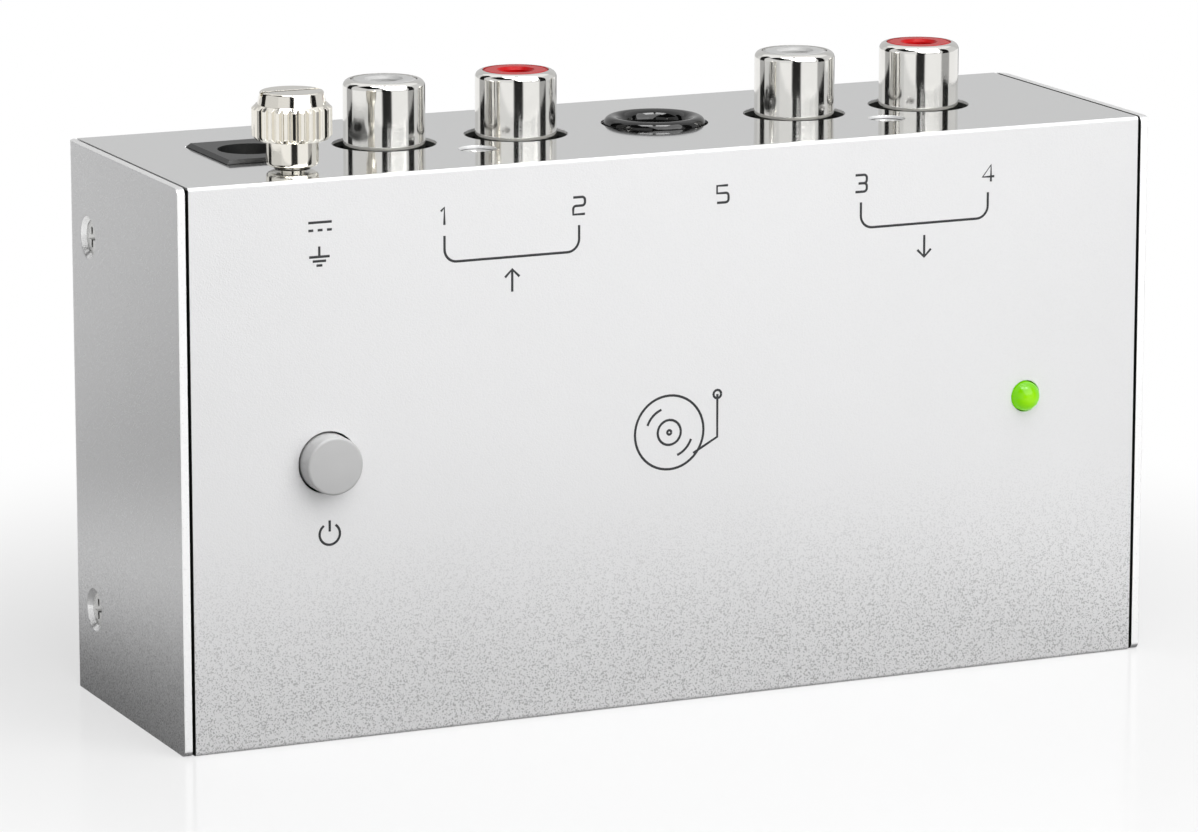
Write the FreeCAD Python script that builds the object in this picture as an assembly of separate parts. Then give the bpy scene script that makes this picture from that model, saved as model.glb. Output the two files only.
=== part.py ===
"""Phono preamp standing on its long edge: one solid per piece, in millimetres.

X runs along the width, Y from the printed face to the back, Z up to the connector face.
The origin is the centre of the long face that the case stands on.
"""
import FreeCAD, Part
import math
import os

V = FreeCAD.Vector
EAST = V(1, 0, 0)
NORTH = V(0, 1, 0)
UP = V(0, 0, 1)
SOUTH = V(0, -1, 0)

# Case of two bent sheets
case_width = 104.0
case_depth = 31.2
case_height = 55.3
sheet = 0.8
seam = 0.3
cover_bend = 0.35
base_bend = 1.3
plate_corner = 0.7

# Screws through the end plates
end_screw_from_back = 5.8
end_screw_from_edge = 8.9
end_screw_radius = 1.0
end_screw_length = 3.9
end_screw_point = 0.5
end_head_radius = 1.65
head_recess = 0.45
end_cross_reach = 1.05
end_cross_width = 0.5
end_cross_depth = 0.9
dimple_mouth = 2.15
dimple_depth = 1.0
dimple_lip = 0.5
nest_gap = 0.15
thread_gap = 0.02
tab_width = 9.0
tab_reach = 12.6
tab_corner = 2.0
tab_boss = 0.8

# Feet on the back plate
foot_radius = 4.0
foot_tip_radius = 3.6
foot_height = 1.8
foot_inset_x = 9.0
foot_inset_z = 8.5

# Circuit board on its standoffs
standoff_length = 6.8
standoff_radius = 2.6
standoff_thread = 1.25
board_thickness = 1.6
board_side_gap = 5.5
board_end_gap = 1.5
board_corner = 1.5
board_hole = 1.6
board_hole_inset = 3.3
upper_hole_from_top = 17.1
lower_hole_from_edge = 3.7
board_screw_head = 2.75
board_screw_head_height = 1.9
board_screw_crown = 0.95
board_screw_length = 5.0
board_cross_reach = 1.5
board_cross_width = 0.75
board_cross_depth = 1.3
leg_gap = 0.15
leg_stickout = 0.9

# Twin phono sockets
input_pair_x = -17.35
output_pair_x = 27.3
socket_pitch = 14.05
socket_axis_height = 5.8
socket_hole = 5.17
shell_radius = 4.05
shell_wall = 0.75
shell_height = 6.4
shell_edge = 0.7
shell_flange = 0.7
shell_flange_height = 0.7
shell_floor = 0.6
insert_gap = 0.05
insert_dome = 0.3
plug_hole = 1.6
plug_mouth = 1.9
plug_hole_length = 4.0
contact_wall = 0.25
contact_play = 0.35
contact_tail = 1.2
housing_drop = 2.0
housing_depth = 10.5
housing_side = 5.95
housing_top = 5.2
housing_corner = 0.6
housing_gap = 0.05
groove_above_axis = 3.0
groove_front_wall = 3.5
groove_web = 1.05
shell_leg = 2.5
contact_leg = 1.2
leg_thickness = 0.5
fixing_boss_width = 6.6
fixing_boss_depth = 8.5
fixing_boss_wall = 3.0
fixing_screw_offset = 6.8
fixing_screw_radius = 1.1
fixing_screw_length = 8.0
fixing_head_radius = 1.65
fixing_mouth = 1.88
fixing_recess = 0.32
fixing_clear = 0.1
fixing_cross_reach = 1.0
fixing_cross_width = 0.5
fixing_cross_depth = 0.9

# Quarter inch output socket
trs_x = 5.0
trs_axis_height = 5.3
trs_hole = 5.4
trs_bore = 3.2
trs_nose = 5.1
trs_nose_height = 0.7
trs_nose_round = 0.75
trs_mouth_round = 1.1
trs_face_gap = 0.3
trs_width = 15.8
trs_above_axis = 7.0
trs_length = 26.0
trs_front_wall = 5.0
trs_wall = 1.2
trs_corner = 0.8
trs_strip = 0.4
trs_strip_width = 2.6
trs_spring_gap = 0.25

# Power inlet
inlet_x = -38.4
inlet_width = 9.0
inlet_height = 11.4
inlet_length = 14.3
inlet_proud = 0.4
inlet_chamfer = 0.35
inlet_axis_height = 5.75
inlet_bore = 3.2
inlet_bore_depth = 10.0
inlet_pin = 1.05
inlet_pin_below = 1.0
inlet_pin_step = 0.35
inlet_pin_round = 0.6
inlet_plate_radius = 1.9
inlet_hole_gap = 0.12
inlet_block = 3.6
inlet_waist = 0.9
inlet_arch_round = 2.8
inlet_leg_width = 2.2
inlet_spring_width = 2.0

# Ground terminal
ground_x = -37.9
ground_off_middle = 0.6
ground_clear = 1.7
screw_gap = 0.3
neck_radius = 1.2
ground_thread = 1.5
ground_thread_gap = 0.03
ground_thread_length = 7.0
ground_thread_point = 0.45
neck_length = 0.7
collar_radius = 2.55
collar_height = 2.6
collar_round = 0.45
knurl_radius = 3.87
knurl_depth = 0.3
knurl_ribs = 30
rib_foot_share = 0.44
rib_crest_share = 0.2
knurl_height = 3.4
knurl_chamfer = 0.4
boss_bottom_radius = 3.3
boss_top_radius = 3.05
boss_height = 1.25
boss_round = 0.25
slot_width = 0.5
slot_depth = 0.45
lug_radius = 2.8
lug_thickness = 0.5
lug_tail_width = 2.2
lug_tail_length = 6.8
lug_corner = 0.9
nut_across_flats = 5.5
nut_height = 2.4
wire_radius = 0.6
wire_drop = 2.0
wire_bend = 3.4

# Power switch and its button
button_x = -37.0
button_from_top = 27.65
button_hole = 3.05
button_radius = 2.85
button_proud = 2.05
button_round = 0.55
button_head = 9.0
button_neck = 4.6
button_travel = 1.7
button_rear_clear = 0.5
switch_side = 8.0
switch_height = 8.5
switch_wall = 1.3
switch_front_wall = 1.0
switch_base_height = 1.0
switch_corner = 0.5
stem_side = 3.0
stem_gap = 0.12
stem_grip = 4.0
flange_side = 4.8
flange_height = 1.0
flange_play = 0.05
spring_radius = 1.5
spring_wire = 0.16
spring_turns = 4
spring_seat_gap = 0.1
spigot_radius = 0.9
spigot_height = 1.6
switch_leg_pitch = 2.0
switch_leg_side = 0.5

# Status light
light_x = 38.5
light_from_top = 27.65
light_hole = 1.6
light_radius = 1.5
light_proud = 1.35
light_length = 5.3
light_flange_radius = 1.9
light_flange_height = 1.0
spacer_radius = 2.3
light_lead_pitch = 2.54
light_lead_side = 0.45

# Parts on the board, in rows from its lower end
row_gap = 0.8
can_count = 6
can_pitch = 12.0
can_radius = 4.0
can_height = 11.5
can_groove = 0.35
can_groove_at = 2.2
can_chamfer = 0.5
chip_offset = 12.0
chip_length = 9.4
chip_width = 6.4
chip_height = 3.3
chip_lift = 0.7
chip_notch = 0.8
chip_pins = 4
chip_pin_pitch = 2.54
chip_pin_width = 1.3
chip_pin_thickness = 0.3
regulator_from_switch = 5.0
regulator_radius = 2.4
regulator_flat = 1.4
regulator_height = 4.8
regulator_lift = 2.0
regulator_pin_side = 0.45
regulator_pin_pitch = 1.27
film_pitch = 12.0
film_shift = 1.5
film_width = 7.2
film_thickness = 3.5
film_height = 7.5
film_corner = 0.5
resistors_per_channel = 4
resistor_pitch = 5.5
resistor_radius = 1.15
resistor_neck = 0.2
resistor_length = 6.2
resistor_cap_length = 1.4
resistor_cone = 0.3
resistor_lift = 0.4
resistor_lead = 0.5
resistor_lead_reach = 1.0

# Lengths under this count as nothing
nothing = 1e-6

# Places worked out from the sizes above
half_width = case_width / 2
front = -case_depth / 2
back = case_depth / 2
inside_front = front + sheet
inside_back = back - sheet
inside_top = case_height - sheet
cover_half = half_width - sheet - seam
board_back = inside_back - standoff_length
board_front = board_back - board_thickness
leg_tip = board_back + leg_stickout
board_half = half_width - board_side_gap
board_bottom = sheet + board_end_gap
board_top = inside_top - board_end_gap
socket_y = board_front - socket_axis_height
socket_face = case_height - housing_drop
socket_rear = socket_face - housing_depth
shell_rear = socket_rear - shell_floor
insert_radius = shell_radius - shell_wall - insert_gap
contact_outer = plug_hole + contact_play + contact_wall
trs_y = board_front - trs_axis_height
trs_face = inside_top - trs_face_gap
trs_end = trs_face - trs_length
inlet_y = board_front - inlet_axis_height
inlet_face = case_height + inlet_proud
inlet_end = inlet_face - inlet_length
ground_y = (inside_front + board_front - inlet_height) / 2 + ground_off_middle
button_z = case_height - button_from_top
switch_face = board_front - switch_height
flange_face = switch_face + switch_front_wall + flange_play
button_rear = switch_face - button_travel - button_rear_clear
light_z = case_height - light_from_top
light_tip = front - light_proud
light_base = light_tip + light_length
pair_centres = (input_pair_x, output_pair_x)
left_sockets = [x - socket_pitch / 2 for x in pair_centres]
right_sockets = [x + socket_pitch / 2 for x in pair_centres]
end_screw_y = back - end_screw_from_back
end_screw_heights = (end_screw_from_edge, case_height - end_screw_from_edge)
can_z = board_bottom + row_gap + can_radius
chip_z = can_z + can_radius + row_gap + chip_width / 2 + 2 * chip_pin_thickness
film_z = chip_z + chip_width / 2 + 2 * chip_pin_thickness + row_gap + film_thickness / 2
resistor_low = film_z + film_thickness / 2 + row_gap + resistor_lead_reach
mount_columns = (-board_half + board_hole_inset, board_half - board_hole_inset)
mount_rows = (board_bottom + lower_hole_from_edge, case_height - upper_hole_from_top)


def box(x0, x1, y0, y1, z0, z1):
    return Part.makeBox(x1 - x0, y1 - y0, z1 - z0, V(x0, y0, z0))


def corner_edges(points, i):
    """Two tangent points and the arc between them for the rounded corner i."""
    before = V(*points[i - 1][:2], 0)
    corner = V(*points[i][:2], 0)
    after = V(*points[(i + 1) % len(points)][:2], 0)
    into = (before - corner).normalize()
    out = (after - corner).normalize()
    half_angle = into.getAngle(out) / 2
    radius = points[i][2]
    reach = radius / math.tan(half_angle)
    middle_way = (into + out).normalize()
    middle = corner + middle_way * (radius / math.sin(half_angle) - radius)
    return corner + into * reach, middle, corner + out * reach


def outline(points):
    """A flat face in XY through the points; a third number rounds that corner."""
    edges = []
    stops = []
    for i, point in enumerate(points):
        if len(point) > 2:
            start, middle, end = corner_edges(points, i)
            edges.append(Part.Arc(start, middle, end).toShape())
            stops.append((start, end))
        else:
            here = V(point[0], point[1], 0)
            stops.append((here, here))
    for i, stop in enumerate(stops):
        start = stops[i - 1][1]
        if (stop[0] - start).Length > nothing:
            edges.append(Part.LineSegment(start, stop[0]).toShape())
    return Part.Face(Part.Wire(Part.__sortEdges__(edges)))


def stood(face, base, across, up):
    """The XY face moved so that its X runs along across and its Y along up."""
    turn = FreeCAD.Rotation(across, up, V(0, 0, 0), "XYZ")
    moved = face.copy()
    moved.Placement = FreeCAD.Placement(base, turn)
    return moved


def prism(points, base, across, up, length):
    """The outline, stood at base, drawn out along across x up by length."""
    face = stood(outline(points), base, across, up)
    return face.extrude(across.cross(up) * length)


def turned(points, base, axis):
    """The outline of (radius, distance along the axis) points turned round the axis."""
    side = NORTH if abs(axis.x) > 0.5 else EAST
    face = stood(outline(points), base, side, axis)
    return face.revolve(base, axis, 360)


def rod(radius, base, axis, length):
    return Part.makeCylinder(radius, length, base, axis)


def group(solids):
    return Part.makeCompound(solids)


def fused(first, *others):
    return first.multiFuse(list(others)).removeSplitter()


def rounded_rectangle(u0, u1, v0, v1, radius):
    return [(u0, v0, radius), (u1, v0, radius), (u1, v1, radius), (u0, v1, radius)]


def cross_recess(base, axis, reach, width, depth):
    """The cutter for a cross-head recess, from base down along the axis."""
    side = NORTH if abs(axis.x) > 0.5 else EAST
    other = axis.cross(side)
    arms = []
    for along, across in ((side, other), (other, side)):
        long_slot = [(-reach, 0), (reach, 0), (width / 2, depth), (-width / 2, depth)]
        start = base - across * (width / 2)
        face = stood(outline(long_slot), start, along, axis)
        arms.append(face.extrude(across * width))
    return arms[0].fuse(arms[1])


def end_places():
    """The outer end of each end screw and the direction it points into the case."""
    for side in (-1, 1):
        for z in end_screw_heights:
            yield V(side * half_width, end_screw_y, z), EAST * -side


def end_dimple(base, axis):
    """The pressed cone round an end screw, and the cutter for its pocket and hole."""
    slope = sheet * math.sqrt(2)
    hole = dimple_mouth - dimple_depth
    floor = dimple_depth + dimple_lip
    bump = turned([(0, sheet / 2), (dimple_mouth + slope - sheet / 2, sheet / 2),
                   (dimple_mouth + slope - floor, floor), (0, floor)], base, axis)
    pocket = turned([(0, 0), (dimple_mouth, 0), (hole, dimple_depth), (hole, floor), (0, floor)],
                    base, axis)
    return bump, pocket


def tab_dimple(base, axis):
    """The cone in a cover tab that the end plate's dimple nests in, and its cutter."""
    slope = sheet * math.sqrt(2)
    face = sheet + seam
    floor = dimple_depth + dimple_lip + nest_gap
    mouth = dimple_mouth + slope - face + nest_gap
    seat = mouth - (floor - face)
    rear = face + sheet + tab_boss
    rear_radius = mouth + sheet / 2
    bump = turned([(0, face + sheet / 2), (rear_radius + sheet, face + sheet / 2),
                   (rear_radius - sheet / 2, rear), (0, rear)], base, axis)
    thread = end_screw_radius + thread_gap
    pocket = turned([(0, face), (mouth, face), (seat, floor), (thread, floor), (thread, rear),
                     (0, rear)], base, axis)
    return bump, pocket


def cover_channel():
    """The bent sheet of printed face, connector face and standing face."""
    points = [(back, 0), (back, sheet), (inside_front, sheet), (inside_front, inside_top),
              (back, inside_top), (back, case_height),
              (front, case_height, cover_bend), (front, 0, cover_bend)]
    return prism(points, V(-cover_half, 0, 0), NORTH, UP, 2 * cover_half)


def cover_tabs():
    """Four ears bent in from the ends of the connector face and the standing face."""
    tabs = []
    y0 = end_screw_y - tab_width / 2
    y1 = y0 + tab_width
    for side in (-1, 1):
        x0 = min(side * cover_half, side * (cover_half - sheet))
        low = [(y0, sheet / 2), (y1, sheet / 2), (y1, tab_reach, tab_corner),
               (y0, tab_reach, tab_corner)]
        high_end = case_height - tab_reach
        high = [(y0, high_end, tab_corner), (y1, high_end, tab_corner),
                (y1, case_height - sheet / 2), (y0, case_height - sheet / 2)]
        for points in (low, high):
            tabs.append(prism(points, V(x0, 0, 0), NORTH, UP, sheet))
    return tabs


def fixing_places():
    return [V(x, socket_y - fixing_screw_offset, case_height) for x in pair_centres]


def front_cover():
    tabs = cover_tabs()
    dimples = [tab_dimple(base, axis) for base, axis in end_places()]
    cover = fused(cover_channel(), *tabs, *[bump for bump, pocket in dimples])
    holes = [pocket for bump, pocket in dimples]
    for x in left_sockets + right_sockets:
        holes.append(rod(socket_hole, V(x, socket_y, inside_top - sheet), UP, 3 * sheet))
    holes.append(rod(trs_hole, V(trs_x, trs_y, inside_top - sheet), UP, 3 * sheet))
    for place in fixing_places():
        lower = fixing_screw_radius + fixing_clear
        countersink = [(0, 0), (fixing_mouth, 0), (fixing_mouth, fixing_recess), (lower, sheet),
                       (0, sheet)]
        holes.append(turned(countersink, place, UP * -1))
    inlet_half = inlet_width / 2 + inlet_hole_gap
    holes.append(box(inlet_x - inlet_half, inlet_x + inlet_half,
                     board_front - inlet_height - inlet_hole_gap, board_front + inlet_hole_gap,
                     inside_top - sheet, case_height + sheet))
    holes.append(rod(ground_clear, V(ground_x, ground_y, inside_top - sheet), UP, 3 * sheet))
    holes.append(rod(button_hole, V(button_x, front - sheet, button_z), NORTH, 3 * sheet))
    holes.append(rod(light_hole, V(light_x, front - sheet, light_z), NORTH, 3 * sheet))
    return cover.cut(holes)


def rear_base():
    """The bent sheet of both end plates and the back plate between them."""
    inner_bend = base_bend - sheet
    inner = half_width - sheet
    points = [(-half_width, front), (-inner, front), (-inner, inside_back, inner_bend),
              (inner, inside_back, inner_bend), (inner, front), (half_width, front),
              (half_width, back, base_bend), (-half_width, back, base_bend)]
    shell = prism(points, V(0, 0, 0), EAST, NORTH, case_height)
    room = sheet + seam
    notch_front = inside_back - base_bend
    notches = [box(-inner, inner, notch_front, back, 0, room),
               box(-inner, inner, notch_front, back, case_height - room, case_height)]
    shell = shell.cut(notches)
    corners = []
    for edge in shell.Edges:
        along_x = abs(edge.BoundBox.XLength - sheet) < nothing
        at_front = abs(edge.CenterOfMass.y - front) < nothing
        at_end = min(edge.CenterOfMass.z, case_height - edge.CenterOfMass.z) < nothing
        if along_x and at_front and at_end:
            corners.append(edge)
    shell = shell.makeFillet(plate_corner, corners)
    dimples = [end_dimple(base, axis) for base, axis in end_places()]
    shell = fused(shell, *[bump for bump, pocket in dimples])
    return shell.cut([pocket for bump, pocket in dimples])


def cover_screws():
    screws = []
    for base, axis in end_places():
        cone_end = head_recess + end_head_radius - end_screw_radius
        tip = head_recess + end_screw_length
        body = turned([(0, head_recess), (end_head_radius, head_recess), (end_screw_radius, cone_end),
                       (end_screw_radius, tip - end_screw_point), (end_screw_radius - end_screw_point, tip),
                       (0, tip)], base, axis)
        recess = cross_recess(base + axis * head_recess, axis, end_cross_reach, end_cross_width,
                              end_cross_depth)
        screws.append(body.cut(recess))
    return group(screws)


def rubber_feet():
    feet = []
    for x in (foot_inset_x - half_width, half_width - foot_inset_x):
        for z in (foot_inset_z, case_height - foot_inset_z):
            profile = [(0, 0), (foot_radius, 0), (foot_tip_radius, foot_height), (0, foot_height)]
            feet.append(turned(profile, V(x, back, z), NORTH))
    return group(feet)


def leg(x, z, wide, tall, y0):
    """A flat terminal of the given section, from y0 through the board."""
    return box(x - wide / 2, x + wide / 2, y0, leg_tip, z - tall / 2, z + tall / 2)


def leg_sections():
    """Centre and section of every terminal that passes through the board."""
    sections = []
    for x in left_sockets + right_sockets:
        sections.append((x, shell_rear + shell_floor / 2, shell_leg, shell_floor))
        sections.append((x, contact_leg_z(), contact_leg, leg_thickness))
    for x, z in trs_legs():
        sections.append((x, z, trs_strip, trs_strip_width))
    for x, z, wide, tall in inlet_legs():
        sections.append((x, z, wide, tall))
    for x, z in switch_legs():
        sections.append((x, z, switch_leg_side, switch_leg_side))
    for x, z in light_leads():
        sections.append((x, z, light_lead_side, light_lead_side))
    return sections


def board_places():
    return [(x, z) for x in mount_columns for z in mount_rows]


def circuit_board():
    sheet_points = rounded_rectangle(-board_half, board_half, board_bottom, board_top, board_corner)
    plate = prism(sheet_points, V(0, board_back, 0), EAST, UP, board_thickness)
    cuts = [rod(board_hole, V(x, board_front, z), NORTH, board_thickness) for x, z in board_places()]
    for x, z, wide, tall in leg_sections():
        cuts.append(leg(x, z, wide + 2 * leg_gap, tall + 2 * leg_gap, board_front))
    cuts.append(rod(wire_radius + leg_gap, V(wire_x(), board_front, wire_z()), NORTH, board_thickness))
    return plate.cut(cuts)


def board_standoffs():
    posts = []
    for x, z in board_places():
        foot = V(x, board_back, z)
        post = rod(standoff_radius, foot, NORTH, standoff_length)
        posts.append(post.cut(rod(standoff_thread + thread_gap, foot, NORTH, board_screw_length)))
    return group(posts)


def board_screws():
    screws = []
    for x, z in board_places():
        head_end = board_screw_head_height
        tip = head_end + board_screw_length
        crown = board_screw_head - board_screw_crown
        profile = [(0, 0), (crown, 0), (board_screw_head, board_screw_crown), (board_screw_head, head_end),
                   (standoff_thread, head_end), (standoff_thread, tip), (0, tip)]
        base = V(x, board_front - head_end, z)
        recess = cross_recess(base, NORTH, board_cross_reach, board_cross_width, board_cross_depth)
        screws.append(turned(profile, base, NORTH).cut(recess))
    return group(screws)


def socket_housing(centre):
    """Moulded block behind two sockets, with the boss that its fixing screw holds."""
    half = socket_pitch / 2 + housing_side
    top = socket_y - housing_top
    points = rounded_rectangle(centre - half, centre + half, top, board_front, housing_corner)
    block = prism(points, V(0, 0, socket_rear), EAST, NORTH, housing_depth)
    boss_half = fixing_boss_width / 2
    boss_front = socket_y - fixing_screw_offset - fixing_boss_wall
    left = centre - boss_half
    right = centre + boss_half
    boss_points = [(left, top + housing_corner), (left, boss_front, housing_corner),
                   (right, boss_front, housing_corner), (right, top + housing_corner)]
    boss = prism(boss_points, V(0, 0, inside_top - fixing_boss_depth), EAST, NORTH, fixing_boss_depth)
    block = fused(block, boss)
    cuts = []
    for x in (centre - socket_pitch / 2, centre + socket_pitch / 2):
        cuts.append(rod(shell_radius + housing_gap, V(x, socket_y, socket_rear), UP, housing_depth))
    groove_half = socket_pitch / 2 - shell_radius - housing_gap - groove_web
    cuts.append(box(centre - groove_half, centre + groove_half, socket_y - groove_above_axis, board_front,
                    socket_rear, socket_face - groove_front_wall))
    pilot = V(centre, socket_y - fixing_screw_offset, inside_top - fixing_boss_depth)
    cuts.append(rod(fixing_screw_radius + thread_gap, pilot, UP, fixing_boss_depth))
    return block.cut(cuts)


def phono_shells():
    shells = []
    for x in left_sockets + right_sockets:
        inner = shell_radius - shell_wall
        top = case_height + shell_height - shell_rear
        flange_low = socket_face - shell_rear
        flange_high = flange_low + shell_flange_height
        flange = shell_radius + shell_flange
        floor_hole = contact_outer + insert_gap * 2
        profile = [(floor_hole, 0), (shell_radius, 0), (shell_radius, flange_low),
                   (flange, flange_low), (flange, flange_high), (shell_radius, flange_high),
                   (shell_radius, top, shell_edge), (inner, top), (inner, shell_floor),
                   (floor_hole, shell_floor)]
        tube = turned(profile, V(x, socket_y, shell_rear), UP)
        tail_start = socket_y + shell_radius - shell_wall
        tail = leg(x, shell_rear + shell_floor / 2, shell_leg, shell_floor, tail_start)
        shells.append(fused(tube, tail))
    return group(shells)


def socket_inserts(columns):
    inserts = []
    for x in columns:
        low = shell_rear + shell_floor
        top = case_height + shell_height - low
        bore_end = top - plug_hole_length
        chamfer = plug_mouth - plug_hole
        profile = [(contact_outer + insert_gap, 0), (insert_radius, 0),
                   (insert_radius, top - insert_dome / 2), (insert_radius - insert_dome, top),
                   (plug_mouth, top), (plug_hole, top - chamfer),
                   (plug_hole, bore_end), (contact_outer + insert_gap, bore_end)]
        inserts.append(turned(profile, V(x, socket_y, low), UP))
    return group(inserts)


def contact_leg_z():
    return shell_rear - contact_tail + leg_thickness / 2


def phono_contacts():
    contacts = []
    for x in left_sockets + right_sockets:
        low = shell_rear - contact_tail
        top = case_height + shell_height - plug_hole_length - low
        inner = contact_outer - contact_wall
        profile = [(0, 0), (contact_outer, 0), (contact_outer, top), (inner, top),
                   (inner, leg_thickness), (0, leg_thickness)]
        tube = turned(profile, V(x, socket_y, low), UP)
        tail = leg(x, contact_leg_z(), contact_leg, leg_thickness, socket_y + plug_hole)
        contacts.append(fused(tube, tail))
    return group(contacts)


def jack_fixing_screws():
    screws = []
    for place in fixing_places():
        cone = fixing_head_radius - fixing_screw_radius
        slope = (sheet - fixing_recess) / (fixing_mouth - fixing_screw_radius)
        head_end = fixing_recess + cone * slope
        tip = fixing_recess + fixing_screw_length
        profile = [(0, fixing_recess), (fixing_head_radius, fixing_recess),
                   (fixing_screw_radius, head_end), (fixing_screw_radius, tip - fixing_screw_radius),
                   (0, tip)]
        body = turned(profile, place, UP * -1)
        recess = cross_recess(place - UP * fixing_recess, UP * -1, fixing_cross_reach,
                              fixing_cross_width, fixing_cross_depth)
        screws.append(body.cut(recess))
    return group(screws)


def trs_body():
    """Moulded body with its domed nose, open inside round the contact springs."""
    left = trs_x - trs_width / 2
    right = trs_x + trs_width / 2
    top = trs_y - trs_above_axis
    points = rounded_rectangle(left, right, top, board_front, trs_corner)
    block = prism(points, V(0, 0, trs_end), EAST, NORTH, trs_length)
    nose_top = case_height + trs_nose_height - trs_face
    profile = [(0, -trs_wall), (trs_nose, -trs_wall), (trs_nose, nose_top, trs_nose_round),
               (trs_bore, nose_top, trs_mouth_round), (trs_bore, 0), (0, 0)]
    nose = turned(profile, V(trs_x, trs_y, trs_face), UP)
    room = box(left + trs_wall, right - trs_wall, top + trs_wall, board_front,
               trs_end + trs_wall, trs_face - trs_front_wall)
    bore = rod(trs_bore, V(trs_x, trs_y, trs_end), UP, trs_length)
    return fused(block, nose).cut([room, bore])


def trs_legs():
    """Sleeve, ring and tip terminals: the sleeve on the left, the others on the right."""
    reach = trs_width / 2 - trs_wall - trs_strip
    low = trs_end + trs_wall + trs_strip_width
    high = trs_face - trs_front_wall - trs_strip_width
    return [(trs_x - reach, high), (trs_x + reach, high), (trs_x + reach, low)]


def trs_contacts():
    """Leaf springs that lie beside the plug's path, each with its leg through the board."""
    springs = []
    crest = trs_bore + trs_spring_gap
    for x, z in trs_legs():
        side = -1 if x < trs_x else 1
        outer = abs(x - trs_x) - trs_strip / 2
        leaf = trs_leaf(side, outer, crest)
        stand = leg(x, z, trs_strip, trs_strip_width, trs_y - trs_strip_width / 2)
        moved = leaf.copy()
        moved.translate(V(trs_x, trs_y, z))
        springs.append(fused(moved, stand))
    return group(springs)


def trs_leaf(side, outer, crest):
    """A strip bent to a crest towards the bore, in the plane across the board."""
    half = trs_strip_width / 2
    across = EAST * side
    line = [(outer, -half), (outer + trs_strip, -half), (outer + trs_strip, half), (outer, half),
            (crest + trs_strip, trs_strip), (crest, 0), (crest + trs_strip, -trs_strip)]
    face = stood(outline(line), V(0, -half, 0), across, UP)
    return face.extrude(NORTH * trs_strip_width)


def inlet_body():
    left = inlet_x - inlet_width / 2
    right = inlet_x + inlet_width / 2
    top = board_front - inlet_height
    block = box(left, right, top, board_front, inlet_face - inlet_block, inlet_face)
    block = block.makeChamfer(inlet_chamfer, [e for e in block.Edges
                                              if abs(e.BoundBox.ZMin - inlet_face) < nothing])
    arch = (right - left) / 2 - inlet_waist
    arch_top = inlet_y - arch
    points = [(left + inlet_waist, board_front), (left + inlet_waist, arch_top, inlet_arch_round),
              (right - inlet_waist, arch_top, inlet_arch_round), (right - inlet_waist, board_front)]
    barrel = prism(points, V(0, 0, inlet_end), EAST, NORTH, inlet_length - inlet_block / 2)
    bore = rod(inlet_bore, V(inlet_x, inlet_y, inlet_face - inlet_bore_depth), UP, inlet_bore_depth)
    shank = inlet_pin - inlet_pin_step + thread_gap
    pin_hole = rod(shank, V(inlet_x, inlet_y, inlet_end), UP, inlet_length)
    cuts = [bore, pin_hole]
    for x, z, wide, tall in inlet_legs()[1:]:
        cuts.append(box(x - wide / 2, x + wide / 2, inlet_y + inlet_bore / 2, board_front,
                        z - tall / 2, z + tall / 2))
    return fused(block, barrel).cut(cuts)


def inlet_legs():
    """Pin terminal behind the body, sleeve spring terminal under the bore."""
    spring_z = inlet_face - inlet_bore_depth + inlet_spring_width
    return [(inlet_x, inlet_end - leg_thickness / 2, inlet_leg_width, leg_thickness),
            (inlet_x, spring_z, inlet_leg_width, leg_thickness)]


def inlet_pin_piece():
    """The centre pin, thinner where the body holds it, with its rear plate and leg."""
    low = inlet_end - leg_thickness
    top = inlet_face - inlet_pin_below - low
    floor = inlet_face - inlet_bore_depth - low
    shank = inlet_pin - inlet_pin_step
    profile = [(0, 0), (inlet_plate_radius, 0), (inlet_plate_radius, leg_thickness),
               (shank, leg_thickness), (shank, floor), (inlet_pin, floor),
               (inlet_pin, top, inlet_pin_round), (0, top)]
    pin = turned(profile, V(inlet_x, inlet_y, low), UP)
    x, z, wide, tall = inlet_legs()[0]
    return fused(pin, leg(x, z, wide, tall, inlet_y + inlet_pin / 2))


def inlet_spring():
    """The sleeve contact: a strip under the bore that goes down through the board."""
    x, z, wide, tall = inlet_legs()[1]
    return leg(x, z, wide, tall, inlet_y + inlet_bore - inlet_hole_gap)


def knurled_ring(base):
    """A ring of straight ribs with both ends chamfered."""
    step = 2 * math.pi / knurl_ribs
    root = knurl_radius - knurl_depth
    points = []
    corners = ((-rib_foot_share, root), (-rib_crest_share, knurl_radius),
               (rib_crest_share, knurl_radius), (rib_foot_share, root))
    for i in range(knurl_ribs):
        for share, radius in corners:
            angle = (i + share) * step
            points.append((radius * math.cos(angle), radius * math.sin(angle)))
    ring = prism(points, base, EAST, NORTH, knurl_height)
    shape = turned([(0, 0), (knurl_radius - knurl_chamfer, 0), (knurl_radius, knurl_chamfer),
                    (knurl_radius, knurl_height - knurl_chamfer),
                    (knurl_radius - knurl_chamfer, knurl_height), (0, knurl_height)], base, UP)
    return ring.common(shape)


def ground_thumbscrew():
    foot = V(ground_x, ground_y, case_height + screw_gap)
    thread_end = -ground_thread_length
    shank = turned([(0, thread_end), (ground_thread - ground_thread_point, thread_end),
                    (ground_thread, thread_end + ground_thread_point), (ground_thread, -neck_length),
                    (neck_radius, -neck_length), (neck_radius, 0), (collar_radius, 0, collar_round),
                    (collar_radius, collar_height), (0, collar_height)], foot, UP)
    ring = knurled_ring(foot + UP * collar_height)
    top = foot + UP * (collar_height + knurl_height)
    boss = turned([(0, 0), (boss_bottom_radius, 0), (boss_top_radius, boss_height, boss_round),
                   (0, boss_height)], top, UP)
    slot_half = slot_width / 2
    slot = box(ground_x - knurl_radius, ground_x + knurl_radius, ground_y - slot_half, ground_y + slot_half,
               top.z + boss_height - slot_depth, top.z + boss_height)
    return fused(shank, ring, boss).cut(slot)


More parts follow.
